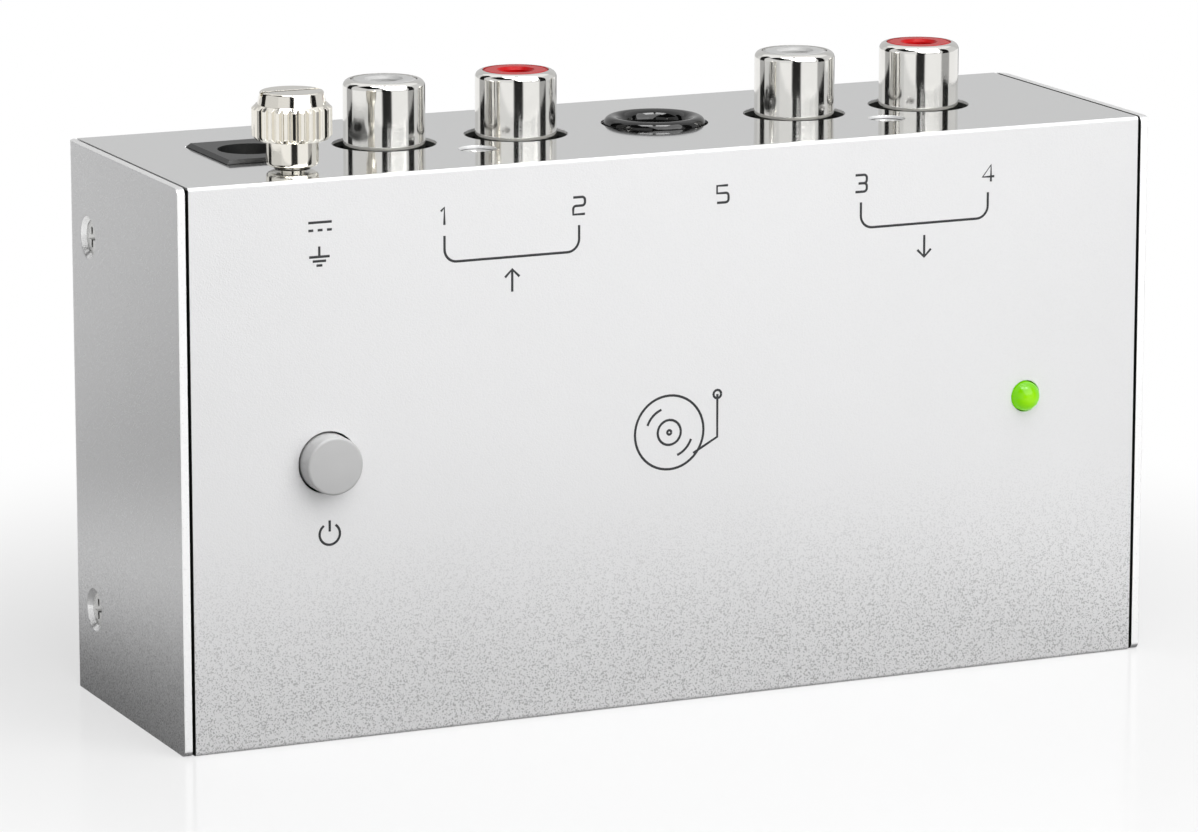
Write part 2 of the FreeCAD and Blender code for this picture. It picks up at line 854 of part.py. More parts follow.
def ground_lug():
    """Solder lug clamped under the connector face, with its tail to the right."""
    low = inside_top - lug_thickness
    ring = rod(lug_radius, V(ground_x, ground_y, low), UP, lug_thickness)
    tail_half = lug_tail_width / 2
    tail = [(0, -tail_half), (lug_tail_length, -tail_half, lug_corner),
            (lug_tail_length, tail_half, lug_corner), (0, tail_half)]
    strip = prism(tail, V(ground_x, ground_y, low), EAST, NORTH, lug_thickness)
    hole = rod(ground_clear, V(ground_x, ground_y, low), UP, lug_thickness)
    return fused(ring, strip).cut(hole)


def ground_nut():
    low = inside_top - lug_thickness - nut_height
    corner = nut_across_flats / math.sqrt(3)
    points = [(corner * math.cos(math.radians(a)), corner * math.sin(math.radians(a)))
              for a in range(0, 360, 60)]
    block = prism(points, V(ground_x, ground_y, low), EAST, NORTH, nut_height)
    thread = rod(ground_thread + ground_thread_gap, V(ground_x, ground_y, low), UP, nut_height)
    return block.cut(thread)


def wire_x():
    return ground_x + lug_tail_length - lug_tail_width / 2


def wire_z():
    return inside_top - lug_thickness - wire_drop - wire_bend


def ground_wire():
    """Short lead from the lug's tail down, round one bend and back to the board."""
    start = V(wire_x(), ground_y, inside_top - lug_thickness)
    bend_start = start - UP * wire_drop
    centre = bend_start + NORTH * wire_bend
    middle = centre - (NORTH + UP) * (wire_bend / math.sqrt(2))
    bend_end = centre - UP * wire_bend
    end = V(wire_x(), leg_tip, wire_z())
    path = Part.Wire([Part.LineSegment(start, bend_start).toShape(),
                      Part.Arc(bend_start, middle, bend_end).toShape(),
                      Part.LineSegment(bend_end, end).toShape()])
    section = Part.Wire(Part.Circle(start, UP, wire_radius).toShape())
    return path.makePipeShell([section], True, False)


def power_button():
    """The long cap: a round head in the printed face, and a square neck behind it."""
    face = V(button_x, front - button_proud, button_z)
    head = turned([(0, 0), (button_radius, 0, button_round), (button_radius, button_head), (0, button_head)],
                  face, NORTH)
    neck_half = button_neck / 2
    neck = box(button_x - neck_half, button_x + neck_half, face.y + button_head, button_rear,
               button_z - neck_half, button_z + neck_half)
    stem_half = stem_side / 2
    socket = box(button_x - stem_half, button_x + stem_half, button_rear - stem_grip, button_rear,
                 button_z - stem_half, button_z + stem_half)
    return fused(head, neck).cut(socket)


def switch_plunger():
    stem_half = stem_side / 2
    stem = box(button_x - stem_half, button_x + stem_half, button_rear - stem_grip, flange_face,
               button_z - stem_half, button_z + stem_half)
    flange_half = flange_side / 2
    flange = box(button_x - flange_half, button_x + flange_half, flange_face, flange_face + flange_height,
                 button_z - flange_half, button_z + flange_half)
    return fused(stem, flange)


def switch_housing():
    half = switch_side / 2
    points = rounded_rectangle(button_x - half, button_x + half, button_z - half, button_z + half,
                               switch_corner)
    block = prism(points, V(0, board_front, 0), EAST, UP, switch_height)
    room_half = half - switch_wall
    room = box(button_x - room_half, button_x + room_half, switch_face + switch_front_wall, board_front,
               button_z - room_half, button_z + room_half)
    hole_half = stem_side / 2 + stem_gap
    hole = box(button_x - hole_half, button_x + hole_half, switch_face, board_front,
               button_z - hole_half, button_z + hole_half)
    return block.cut([room, hole])


def switch_base():
    """The plate that closes the switch at the board, with the spring's spigot."""
    half = switch_side / 2 - switch_wall
    low = board_front - switch_base_height
    plate = box(button_x - half, button_x + half, low, board_front, button_z - half, button_z + half)
    spigot = rod(spigot_radius, V(button_x, low - spigot_height, button_z), NORTH, spigot_height)
    cuts = [box(x - switch_leg_side / 2, x + switch_leg_side / 2, low, board_front,
                z - switch_leg_side / 2, z + switch_leg_side / 2) for x, z in switch_legs()]
    return fused(plate, spigot).cut(cuts)


def switch_legs():
    side = switch_side / 2 - switch_wall - switch_leg_side
    return [(button_x + s * side, button_z + k * switch_leg_pitch) for s in (-1, 1) for k in (-1, 0, 1)]


def switch_terminals():
    low = board_front - switch_base_height
    return group([leg(x, z, switch_leg_side, switch_leg_side, low) for x, z in switch_legs()])


def switch_spring():
    """A coil of quarter-turn arcs between the plunger's flange and the base plate."""
    start_y = flange_face + flange_height + spring_wire + spring_seat_gap
    end_y = board_front - switch_base_height - spring_wire - spring_seat_gap
    steps = spring_turns * 4

    def place(k):
        angle = k * math.pi / 2
        return V(button_x + spring_radius * math.cos(angle), start_y + (end_y - start_y) * k / steps,
                 button_z + spring_radius * math.sin(angle))

    arcs = [Part.Arc(place(k), place(k + 0.5), place(k + 1)).toShape() for k in range(steps)]
    path = Part.Wire(arcs)
    start_way = arcs[0].tangentAt(arcs[0].FirstParameter)
    section = Part.Wire(Part.Circle(place(0), start_way, spring_wire).toShape())
    return path.makePipeShell([section], True, False)


def light_lens():
    base = V(light_x, light_tip, light_z)
    flange_start = light_length - light_flange_height
    face = stood(outline([(0, light_radius), (light_radius, light_radius), (light_radius, flange_start),
                          (light_flange_radius, flange_start), (light_flange_radius, light_length),
                          (0, light_length)]), base, EAST, NORTH)
    body = face.revolve(base, NORTH, 360)
    dome = Part.makeSphere(light_radius, base + NORTH * light_radius)
    return fused(body, dome)


def light_leads():
    return [(light_x - light_lead_pitch / 2, light_z), (light_x + light_lead_pitch / 2, light_z)]


def light_spacer():
    """The tube that holds the light at the face, with a channel for each lead."""
    tube = rod(spacer_radius, V(light_x, light_base, light_z), NORTH, board_front - light_base)
    channel_half = light_lead_side / 2 + leg_gap
    channels = [box(x - channel_half, x + channel_half, light_base, board_front,
                    z - channel_half, z + channel_half) for x, z in light_leads()]
    return tube.cut(channels)


def light_lead_wires():
    return group([leg(x, z, light_lead_side, light_lead_side, light_base) for x, z in light_leads()])


def electrolytic_capacitors():
    cans = []
    for i in range(can_count):
        x = (i - (can_count - 1) / 2) * can_pitch
        waist = can_radius - can_groove
        profile = [(0, 0), (can_radius - can_chamfer, 0), (can_radius, can_chamfer),
                   (can_radius, can_groove_at - can_groove), (waist, can_groove_at),
                   (can_radius, can_groove_at + can_groove), (can_radius, can_height - can_chamfer),
                   (can_radius - can_chamfer, can_height), (0, can_height)]
        cans.append(turned(profile, V(x, board_front, can_z), SOUTH))
    return group(cans)


def film_capacitors():
    blocks = []
    for centre in pair_centres:
        for side in (-1, 1):
            x = centre - film_shift + side * film_pitch / 2
            points = rounded_rectangle(x - film_width / 2, x + film_width / 2,
                                       film_z - film_thickness / 2, film_z + film_thickness / 2, film_corner)
            blocks.append(prism(points, V(0, board_front, 0), EAST, UP, film_height))
    return group(blocks)


def chip_pin_row(x, side):
    """The row of pins down one long side of a chip, each a strip down to the board."""
    root = chip_z + side * chip_width / 2
    edge = root + side * 2 * chip_pin_thickness
    z0, z1 = sorted((root, edge))
    top = board_front - chip_lift - chip_height / 2
    pins = []
    for i in range(chip_pins):
        pin_x = x + (i - (chip_pins - 1) / 2) * chip_pin_pitch
        pins.append(box(pin_x - chip_pin_width / 2, pin_x + chip_pin_width / 2, top, board_front, z0, z1))
    return pins


def opamp_chips():
    chips = []
    for x in (-chip_offset, chip_offset):
        low = board_front - chip_lift
        body = box(x - chip_length / 2, x + chip_length / 2, low - chip_height, low,
                   chip_z - chip_width / 2, chip_z + chip_width / 2)
        notch = rod(chip_notch, V(x - chip_length / 2, low - chip_height, chip_z), NORTH, chip_notch)
        chips.append(fused(body.cut(notch), *chip_pin_row(x, -1), *chip_pin_row(x, 1)))
    return group(chips)


def resistor(x):
    """One resistor with its end caps, and its lead bent down to the board at both ends."""
    axis_y = board_front - resistor_lift - resistor_radius
    waist = resistor_radius - resistor_neck
    cap = resistor_cap_length
    length = resistor_length
    profile = [(0, 0), (resistor_radius, 0), (resistor_radius, cap), (waist, cap + resistor_cone),
               (waist, length - cap - resistor_cone), (resistor_radius, length - cap),
               (resistor_radius, length), (0, length)]
    body = turned(profile, V(x, axis_y, resistor_low), UP)
    half = resistor_lead / 2
    low = resistor_low - resistor_lead_reach
    high = resistor_low + length + resistor_lead_reach
    wire = box(x - half, x + half, axis_y - half, axis_y + half, low, high)
    feet = [box(x - half, x + half, axis_y - half, board_front, z, z + resistor_lead)
            for z in (low, high - resistor_lead)]
    return fused(body, wire, *feet)


def resistors():
    middle = (resistors_per_channel - 1) / 2
    return group([resistor(centre - film_shift + (i - middle) * resistor_pitch)
                  for centre in pair_centres for i in range(resistors_per_channel)])


def voltage_regulator():
    x = button_x + regulator_from_switch
    low = board_front - regulator_lift
    body = rod(regulator_radius, V(x, low, chip_z), SOUTH, regulator_height)
    body = body.cut(box(x - regulator_radius, x + regulator_radius, low - regulator_height, low,
                        chip_z + regulator_flat, chip_z + regulator_radius))
    half = regulator_pin_side / 2
    columns = [x + k * regulator_pin_pitch for k in (-1, 0, 1)]
    pins = [box(c - half, c + half, low, board_front, chip_z - half, chip_z + half) for c in columns]
    return fused(body, *pins)


pieces = {
    "front_cover": front_cover,
    "rear_base": rear_base,
    "cover_screws": cover_screws,
    "rubber_feet": rubber_feet,
    "circuit_board": circuit_board,
    "board_standoffs": board_standoffs,
    "board_screws": board_screws,
    "input_socket_housing": lambda: socket_housing(input_pair_x),
    "output_socket_housing": lambda: socket_housing(output_pair_x),
    "phono_socket_shells": phono_shells,
    "left_channel_inserts": lambda: socket_inserts(left_sockets),
    "right_channel_inserts": lambda: socket_inserts(right_sockets),
    "phono_socket_contacts": phono_contacts,
    "socket_fixing_screws": jack_fixing_screws,
    "headphone_socket_body": trs_body,
    "headphone_socket_springs": trs_contacts,
    "power_inlet_body": inlet_body,
    "power_inlet_pin": inlet_pin_piece,
    "power_inlet_spring": inlet_spring,
    "ground_thumbscrew": ground_thumbscrew,
    "ground_nut": ground_nut,
    "ground_lug": ground_lug,
    "ground_wire": ground_wire,
    "power_button": power_button,
    "switch_plunger": switch_plunger,
    "switch_housing": switch_housing,
    "switch_base": switch_base,
    "switch_terminals": switch_terminals,
    "switch_spring": switch_spring,
    "light_lens": light_lens,
    "light_spacer": light_spacer,
    "light_leads": light_lead_wires,
    "electrolytic_capacitors": electrolytic_capacitors,
    "film_capacitors": film_capacitors,
    "opamp_chips": opamp_chips,
    "resistors": resistors,
    "voltage_regulator": voltage_regulator,
}

os.makedirs("parts", exist_ok=True)
for name, make in pieces.items():
    shape = make()
    shape.exportStep(f"parts/{name}.step")
    print(name, len(shape.Solids), round(shape.Volume, 2), shape.isValid())
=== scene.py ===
"""Looks of the phono preamp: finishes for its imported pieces, its button, printed marks and a plain studio."""
import math

import bmesh
import bpy
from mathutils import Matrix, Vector


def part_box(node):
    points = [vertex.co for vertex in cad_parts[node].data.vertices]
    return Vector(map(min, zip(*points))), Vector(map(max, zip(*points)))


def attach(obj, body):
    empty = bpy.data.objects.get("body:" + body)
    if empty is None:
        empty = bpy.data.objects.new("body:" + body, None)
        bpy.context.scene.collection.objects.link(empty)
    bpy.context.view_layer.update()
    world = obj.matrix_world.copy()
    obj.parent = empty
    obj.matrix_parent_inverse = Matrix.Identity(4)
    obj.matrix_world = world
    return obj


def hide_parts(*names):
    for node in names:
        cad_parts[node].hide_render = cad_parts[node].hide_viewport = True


bl_info = {
    "name": "Phono preamp looks",
    "version": (1, 0, 0),
    "blender": (4, 5, 0),
    "location": "3D view > Sidebar > Preamp",
    "description": "Dresses the packed phono preamp and sets it in a plain studio",
    "category": "Object",
}

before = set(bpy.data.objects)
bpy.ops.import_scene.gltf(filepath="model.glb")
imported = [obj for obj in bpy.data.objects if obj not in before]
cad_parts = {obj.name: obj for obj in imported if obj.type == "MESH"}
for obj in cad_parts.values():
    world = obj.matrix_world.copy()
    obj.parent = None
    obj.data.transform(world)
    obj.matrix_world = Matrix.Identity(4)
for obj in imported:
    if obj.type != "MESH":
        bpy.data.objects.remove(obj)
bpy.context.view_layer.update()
MM = 0.001


def mm(value):
    return value * MM


def corners(node):
    """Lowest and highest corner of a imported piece."""
    return [Vector(corner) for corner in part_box(node)]


cover_low, cover_high = corners("front_cover")
base_low, base_high = corners("rear_base")
PRINTED_FACE = cover_low.y
CONNECTOR_FACE = cover_high.z
HAIR = mm(0.02)
SKIN = mm(0.3)

# Cards that only mirrors see: name, turn from the camera's direction in degrees (negative is the image's
# right), and width in metres for a dark card or level for a pale one.
DARK_CARDS = (
    ("card by the camera", -7, 0.4),
    ("card on the right", -84, 0.34),
    ("card on the left", 108, 0.34),
)
DARK_DISTANCE = 0.9
PALE_CARDS = (
    ("grey card behind", 180, 0.62),
    ("pale card in front", 0, 0.86),
    ("pale card on the left", 90, 0.74),
    ("pale card on the right", -90, 0.74),
)
PALE_DISTANCE = 1.1
CARD_MIDDLE = 0.5

# Dark lanes on the floor: turn of the middle to the image's right and half width in degrees, and depth.
LANES = ((7, 13, 1.0), (-108, 13, 0.55), (84, 14, 0.6), (166, 12, 0.8))

# Flat cards overhead: way towards the back of the view, height, and size across and along the view.
CEILING_AHEAD, CEILING_HEIGHT, CEILING_SIZE = -0.85, 0.8, (3.6, 1.6, 1)
SCREEN_AHEAD, SCREEN_HEIGHT, SCREEN_SIZE = -0.19, 0.75, (0.26, 0.27, 1)
SCREEN_ASIDE = 0.16
KEY_PLACE, KEY_AIM, KEY_SIZE = (0.05, -0.25, 0.29), (0, -0.016, 0.045), 0.42
FLOOR_SIZE = 8


class CaseSettings(bpy.types.PropertyGroup):
    """Colours and grain of the two bent sheets."""
    satin: bpy.props.FloatVectorProperty(
        name="Satin silver", description="Blasted silver of the printed face", subtype="COLOR", size=3,
        default=(0.76, 0.76, 0.765), min=0, max=1)
    polish: bpy.props.FloatVectorProperty(
        name="Polished silver", description="Bright rolled silver of the connector face", subtype="COLOR",
        size=3, default=(0.86, 0.865, 0.865), min=0, max=1)
    plate: bpy.props.FloatVectorProperty(
        name="End plate silver", description="Darker silver of the end plates and the back", subtype="COLOR",
        size=3, default=(0.64, 0.64, 0.645), min=0, max=1)
    cut: bpy.props.FloatVectorProperty(
        name="Cut silver", description="Bright cut edge and screw dimples of the end plates", subtype="COLOR",
        size=3, default=(0.93, 0.93, 0.93), min=0, max=1)
    # Painted shade: near-black colour for the inner faces, hole walls and end gaps of both sheets, where shade
    # falls.
    inside: bpy.props.FloatVectorProperty(
        name="Inner face", description="Black inner face of both sheets", subtype="COLOR", size=3,
        default=(0.006, 0.008, 0.006), min=0, max=1)
    roughness: bpy.props.FloatProperty(
        name="Satin roughness", description="Middle roughness of the blasted finish", subtype="FACTOR",
        default=0.38, min=0, max=1)
    grain: bpy.props.FloatProperty(
        name="Grain size", description="Width of one speck of the finish", subtype="DISTANCE", unit="LENGTH",
        default=mm(0.14), min=mm(0.02))
    edge: bpy.props.FloatProperty(
        name="Edge rounding", description="Radius that breaks the sheets' cut edges", subtype="DISTANCE",
        unit="LENGTH", default=mm(0.12), min=0)


class ConnectorSettings(bpy.types.PropertyGroup):
    """Colours of the connectors."""
    nickel: bpy.props.FloatVectorProperty(
        name="Nickel", description="Bright plate on the phono sockets", subtype="COLOR", size=3,
        default=(0.83, 0.82, 0.79), min=0, max=1)
    screw_nickel: bpy.props.FloatVectorProperty(
        name="Thumbscrew nickel", description="Warmer plate on the thumbscrew", subtype="COLOR", size=3,
        default=(0.87, 0.84, 0.77), min=0, max=1)
    left_insert: bpy.props.FloatVectorProperty(
        name="Left insert", description="White insert of each left socket", subtype="COLOR", size=3,
        default=(0.5, 0.5, 0.495), min=0, max=1)
    right_insert: bpy.props.FloatVectorProperty(
        name="Right insert", description="Red insert of each right socket", subtype="COLOR", size=3,
        default=(0.5, 0.002, 0.004), min=0, max=1)


class ButtonSettings(bpy.types.PropertyGroup):
    """Power button's cap."""
    colour: bpy.props.FloatVectorProperty(
        name="Cap colour", description="Pale grey moulding", subtype="COLOR", size=3,
        default=(0.48, 0.48, 0.48), min=0, max=1)
    head: bpy.props.FloatProperty(
        name="Head", description="Length of the round head", subtype="DISTANCE", unit="LENGTH",
        default=mm(9), min=mm(1))
    neck: bpy.props.FloatProperty(
        name="Neck", description="Width of the square neck behind the head", subtype="DISTANCE",
        unit="LENGTH", default=mm(4.6), min=mm(1))
    rim: bpy.props.FloatProperty(
        name="Rim", description="Rounding of the head's front rim", subtype="DISTANCE", unit="LENGTH",
        default=mm(0.28), min=mm(0.01))


class MarkSettings(bpy.types.PropertyGroup):
    """Printed marks on the front sheet."""
    ink: bpy.props.FloatVectorProperty(
        name="Ink", description="Dark grey print", subtype="COLOR", size=3,
        default=(0.016, 0.017, 0.019), min=0, max=1)
    stroke: bpy.props.FloatProperty(
        name="Stroke", description="Width of a printed line", subtype="DISTANCE", unit="LENGTH",
        default=mm(0.25), min=mm(0.02))
    digit: bpy.props.FloatProperty(
        name="Number height", description="Height of a printed number", subtype="DISTANCE", unit="LENGTH",
        default=mm(1.68), min=mm(0.2))
    film: bpy.props.FloatProperty(
        name="Ink film", description="How far the print stands off the sheet", subtype="DISTANCE",
        unit="LENGTH", default=mm(0.02), min=mm(0.002))


class StudioSettings(bpy.types.PropertyGroup):
    """Camera, floor and lamps."""
    camera_place: bpy.props.FloatVectorProperty(
        name="Camera place", description="Where the camera stands", subtype="XYZ", unit="LENGTH", size=3,
        default=(-0.248474, -0.550639, 0.155608))
    camera_yaw: bpy.props.FloatProperty(
        name="Camera yaw", description="Turn from +Y towards +X", subtype="ANGLE", default=0.4212)
    camera_pitch: bpy.props.FloatProperty(
        name="Camera pitch", description="Tilt below the horizon", subtype="ANGLE", default=0.2115)
    camera_lens: bpy.props.FloatProperty(
        name="Lens", description="Focal length on a 36 mm wide sensor, in millimetres", default=184.67,
        min=10)
    camera_shift: bpy.props.FloatProperty(
        name="Shift", description="Small sideways shift that matches the framing", default=0.00165)
    floor: bpy.props.FloatVectorProperty(
        name="Floor colour", description="Pale floor", subtype="COLOR", size=3,
        default=(0.72, 0.72, 0.72), min=0, max=1)
    bounce: bpy.props.FloatVectorProperty(
        name="Floor bounce", description="What the floor throws back on the object", subtype="COLOR", size=3,
        default=(0.38, 0.38, 0.38), min=0, max=1)
    floor_glow: bpy.props.FloatProperty(
        name="Floor whiteness", description="Share of plain white in what the camera and gloss see",
        subtype="FACTOR", default=0.62, min=0, max=1)
    shade_reach: bpy.props.FloatProperty(
        name="Shade reach", description="How far from the middle the floor shows the object's shade",
        subtype="DISTANCE", unit="LENGTH", default=0.12, min=0.01)
    sky: bpy.props.FloatProperty(
        name="Sky light", description="Strength of the even light from all round", default=0.4, min=0)
    key: bpy.props.FloatProperty(
        name="Key lamp", description="Power of the soft lamp above the front", unit="POWER",
        default=1.8, min=0)
    screen: bpy.props.FloatProperty(
        name="Bright screens", description="Strength of the two screens above, which only mirrors see",
        default=10.0, min=0)
    card: bpy.props.FloatVectorProperty(
        name="Card colour", description="Dark cards that only bright metal shows", subtype="COLOR", size=3,
        default=(0.02, 0.02, 0.02), min=0, max=1)


class Signal:
    """One value or colour in a shader, with Python's operators as Math nodes."""

    def __init__(self, finish, socket):
        self.finish = finish
        self.socket = socket

    def math(self, operation, first, second=None):
        values = {0: first} if second is None else {0: first, 1: second}
        return self.finish.node("ShaderNodeMath", {"operation": operation}, values)

    def __add__(self, other):
        return self.math("ADD", self, other)

    def __radd__(self, other):
        return self.math("ADD", other, self)

    def __sub__(self, other):
        return self.math("SUBTRACT", self, other)

    def __rsub__(self, other):
        return self.math("SUBTRACT", other, self)

    def __mul__(self, other):
        return self.math("MULTIPLY", self, other)

    def __rmul__(self, other):
        return self.math("MULTIPLY", other, self)

    def __pow__(self, other):
        return self.math("POWER", self, other)

    def above(self, level):
        return self.math("GREATER_THAN", self, level)

    def below(self, level):
        return self.math("LESS_THAN", self, level)

    def absolute(self):
        return self.math("ABSOLUTE", self)

    def largest(self, other):
        return self.math("MAXIMUM", self, other)


class Finish:
    """A node material, or the world, built from expressions."""

    def __init__(self, name, tree=None):
        self.material = None
        if tree is None:
            self.material = bpy.data.materials.new(name)
            self.material.use_nodes = True
            tree = self.material.node_tree
        self.tree = tree
        tree.nodes.clear()

    def node(self, kind, settings=None, values=None, out=0):
        made = self.tree.nodes.new(kind)
        for key, setting in (settings or {}).items():
            if key == "stops":
                self.set_stops(made.color_ramp, setting)
            else:
                setattr(made, key, setting)
        for key, value in (values or {}).items():
            self.fill(made.inputs[key], value)
        return Signal(self, made.outputs[out])

    def set_stops(self, ramp, stops):
        while len(ramp.elements) < len(stops):
            ramp.elements.new(0.5)
        for element, (place, colour) in zip(ramp.elements, stops):
            element.position = place
            element.color = (*colour, 1)

    def fill(self, socket, value):
        if isinstance(value, Signal):
            self.tree.links.new(value.socket, socket)
        elif socket.type == "RGBA" and len(value) == 3:
            socket.default_value = (*value, 1)
        else:
            socket.default_value = value

    def place(self, stretch=(1, 1, 1)):
        """Object coordinates in metres, stretched along the axes."""
        where = self.node("ShaderNodeTexCoord", out="Object")
        return self.node("ShaderNodeMapping", None, {"Vector": where, "Scale": stretch})

    def axes(self):
        """The X, Y and Z of a point in metres."""
        parts = self.node("ShaderNodeSeparateXYZ", None, {0: self.place()})
        outputs = parts.socket.node.outputs
        return Signal(self, outputs["X"]), Signal(self, outputs["Y"]), Signal(self, outputs["Z"])

    def noise(self, size, stretch=(1, 1, 1), detail=2.0):
        """Noise between 0 and 1 whose specks are about size across."""
        return self.node("ShaderNodeTexNoise", None,
                         {"Vector": self.place(stretch), "Scale": 1 / size, "Detail": detail})

    def blend(self, share, first, second):
        """The first colour, going over to the second as share rises to 1."""
        return self.node("ShaderNodeMix", {"data_type": "RGBA"},
                         {"Factor": share, "A": first, "B": second}, out="Result")

    def fade(self, value, low, high, first, second):
        """Maps value from low..high to first..second with soft ends."""
        return self.node("ShaderNodeMapRange", {"interpolation_type": "SMOOTHSTEP"},
                         {"Value": value, "From Min": low, "From Max": high, "To Min": first,
                          "To Max": second})

    def ray(self, kind):
        """1 for a ray of that kind, and 0 for the others."""
        return self.node("ShaderNodeLightPath", out=f"Is {kind} Ray")

    def seen_directly(self):
        """1 for a ray from the camera, a mirror or clear matter, and 0 for plain light."""
        return self.ray("Camera").largest(self.ray("Glossy")).largest(self.ray("Transmission"))

    def bump(self, height, depth, edge=None):
        """A normal from height, over edges broken by the radius edge."""
        values = {"Height": height, "Distance": depth, "Strength": 1.0}
        if edge:
            values["Normal"] = self.node("ShaderNodeBevel", {"samples": 6}, {"Radius": edge})
        return self.node("ShaderNodeBump", None, values)

    def surface(self, **values):
        """The main shader; keys are socket names with underscores for spaces."""
        sockets = {key.replace("_", " "): value for key, value in values.items()}
        shader = self.node("ShaderNodeBsdfPrincipled", None, sockets)
        self.output(shader)
        return self.material

    def output(self, shader, kind="ShaderNodeOutputMaterial"):
        end = self.tree.nodes.new(kind)
        self.tree.links.new(shader.socket, end.inputs["Surface"])


def cover_finish():
    """Satin printed face, bright connector face, and near-black painted shade behind both and in the gaps at
    the ends.
    """
    settings = bpy.context.scene.preamp_case
    finish = Finish("cover silver")
    x, y, z = finish.axes()
    # Painted shade: the inner faces and the walls of the holes are coloured near black, standing in for the
    # shade inside the case and in the holes.
    inner = (y.above(PRINTED_FACE + SKIN) * z.below(CONNECTOR_FACE - SKIN)
             * z.above(cover_low.z + HAIR))
    # Painted shade: the cover's end walls below the connector face are coloured near black, standing in for the
    # shaded gap between cover and end plate.
    seam_shade = x.absolute().above(cover_high.x - HAIR) * z.below(CONNECTOR_FACE - mm(0.25))
    painted_shade = inner.largest(seam_shade)
    bright = z.above(CONNECTOR_FACE - mm(0.01))
    grain = finish.noise(settings.grain, detail=1.0)
    cloud = finish.noise(mm(9))
    satin = finish.blend(cloud, [c * 0.985 for c in settings.satin], settings.satin)
    satin = finish.blend(pitted(finish, grain, z), satin, [c * 0.42 for c in settings.satin])
    silver = finish.blend(bright, satin, settings.polish)
    satin_roughness = settings.roughness + (grain - 0.5) * 0.14 + (cloud - 0.5) * 0.05
    return finish.surface(
        Base_Color=finish.blend(painted_shade, silver, settings.inside),
        Metallic=(0.35 + bright * 0.65) * (1 - painted_shade),
        Roughness=satin_roughness * (1 - bright) + bright * (0.07 + cloud * 0.05) + painted_shade * 0.3,
        Normal=finish.bump(grain * (1 - bright * 0.97), mm(0.016), settings.edge))


def pitted(finish, grain, z):
    """Share of dark specks of a blasted face, plainer towards the foot."""
    foot = finish.fade(z, 0.0, CONNECTOR_FACE * 0.42, 1.0, 0.03)
    return finish.fade(grain, 0.53, 0.63, 0.0, 0.8) * foot


def base_finish():
    """Grey satin end plates and back, with bright cut edges and a near-black inner face of painted shade."""
    settings = bpy.context.scene.preamp_case
    finish = Finish("base silver")
    x, y, z = finish.axes()
    wall = cover_high.x + mm(0.32)
    # Painted shade: the inner faces of the end plates and back, in the gaps beside the cover and inside the
    # case, are coloured near black.
    painted_shade = x.absolute().below(wall) * y.below(base_high.y - mm(0.5))
    cut_edge = y.below(base_low.y + mm(0.03))
    grain = finish.noise(settings.grain, detail=1.0)
    cloud = finish.noise(mm(9))
    plate = finish.blend(cloud, [c * 0.97 for c in settings.plate], settings.plate)
    plate = finish.blend(pitted(finish, grain, z), plate, [c * 0.36 for c in settings.plate])
    dimple = (x.absolute().below(base_high.x - mm(0.03)) * x.absolute().above(wall + mm(0.04))
              * y.above(base_low.y + mm(0.5)) * z.above(mm(2)) * z.below(base_high.z - mm(2)))
    top_edge = z.above(base_high.z - mm(0.03))
    silver = finish.blend(cut_edge.largest(dimple).largest(top_edge), plate, settings.cut)
    return finish.surface(
        Base_Color=finish.blend(painted_shade, silver, settings.inside),
        Metallic=(0.7 - cut_edge * 0.6 + top_edge * 0.2) * (1 - painted_shade),
        Roughness=0.3 + (grain - 0.5) * 0.14 + painted_shade * 0.2 - dimple * 0.12,
        Normal=finish.bump(grain, mm(0.016), settings.edge))


def nickel_finish(name, colour, roughness, edge=mm(0.04)):
    """Turned and plated metal with fine lines round it."""
    finish = Finish(name)
    haze = finish.noise(mm(0.9))
    lines = finish.noise(mm(0.25), stretch=(0.2, 0.2, 6))
    tone = finish.blend(haze, [c * 0.94 for c in colour], colour)
    return finish.surface(
        Base_Color=tone, Metallic=1.0, Roughness=roughness + haze * 0.03 + lines * 0.03,
        Normal=finish.bump(lines, mm(0.0012), edge))


def plastic_finish(name, colour, roughness, grain, depth, edge=0.0, sheen=0.5):
    """Moulded plastic; sheen is the level of its surface reflection."""
    finish = Finish(name)
    speck = finish.noise(grain)
    cloud = finish.noise(grain * 30)
    tone = finish.blend(cloud, [c * 0.9 for c in colour], colour)
    return finish.surface(
        Base_Color=tone, Roughness=roughness + (speck - 0.5) * 0.1,
        Specular_IOR_Level=sheen, Normal=finish.bump(speck, depth, edge))


def light_finish():
    """The lit lens: brighter over the chip at its core, deeper green at the rim."""
    lens_low, lens_high = corners("light_lens")
    centre = (lens_low + lens_high) / 2
    finish = Finish("lit green lens")
    x, y, z = finish.axes()
    side, height = x - centre.x, z - centre.z
    reach = (side * side + height * height) ** 0.5
    core = finish.fade(reach, mm(0.3), mm(1.5), 1.0, 0.0)
    swirl = finish.noise(mm(0.7))
    glow = finish.blend(core * (0.7 + swirl * 0.5), (0.17, 0.60, 0.0), (0.36, 0.84, 0.004))
    return finish.surface(
        Base_Color=(0.05, 0.16, 0.0), Roughness=0.14 + swirl * 0.05, Emission_Color=glow,
        Emission_Strength=0.78, Specular_IOR_Level=0.3)


def board_finish():
    """Green board with lanes of copper under its mask."""
    finish = Finish("solder mask")
    traces = finish.noise(mm(2.2), stretch=(1, 1, 0.25), detail=0.0)
    lanes = finish.fade(traces, 0.47, 0.53, 0.0, 1.0)
    tone = finish.blend(lanes, (0.012, 0.11, 0.035), (0.02, 0.17, 0.06))
    return finish.surface(Base_Color=tone, Roughness=0.32 + lanes * 0.1, Normal=finish.bump(lanes, mm(0.02)))


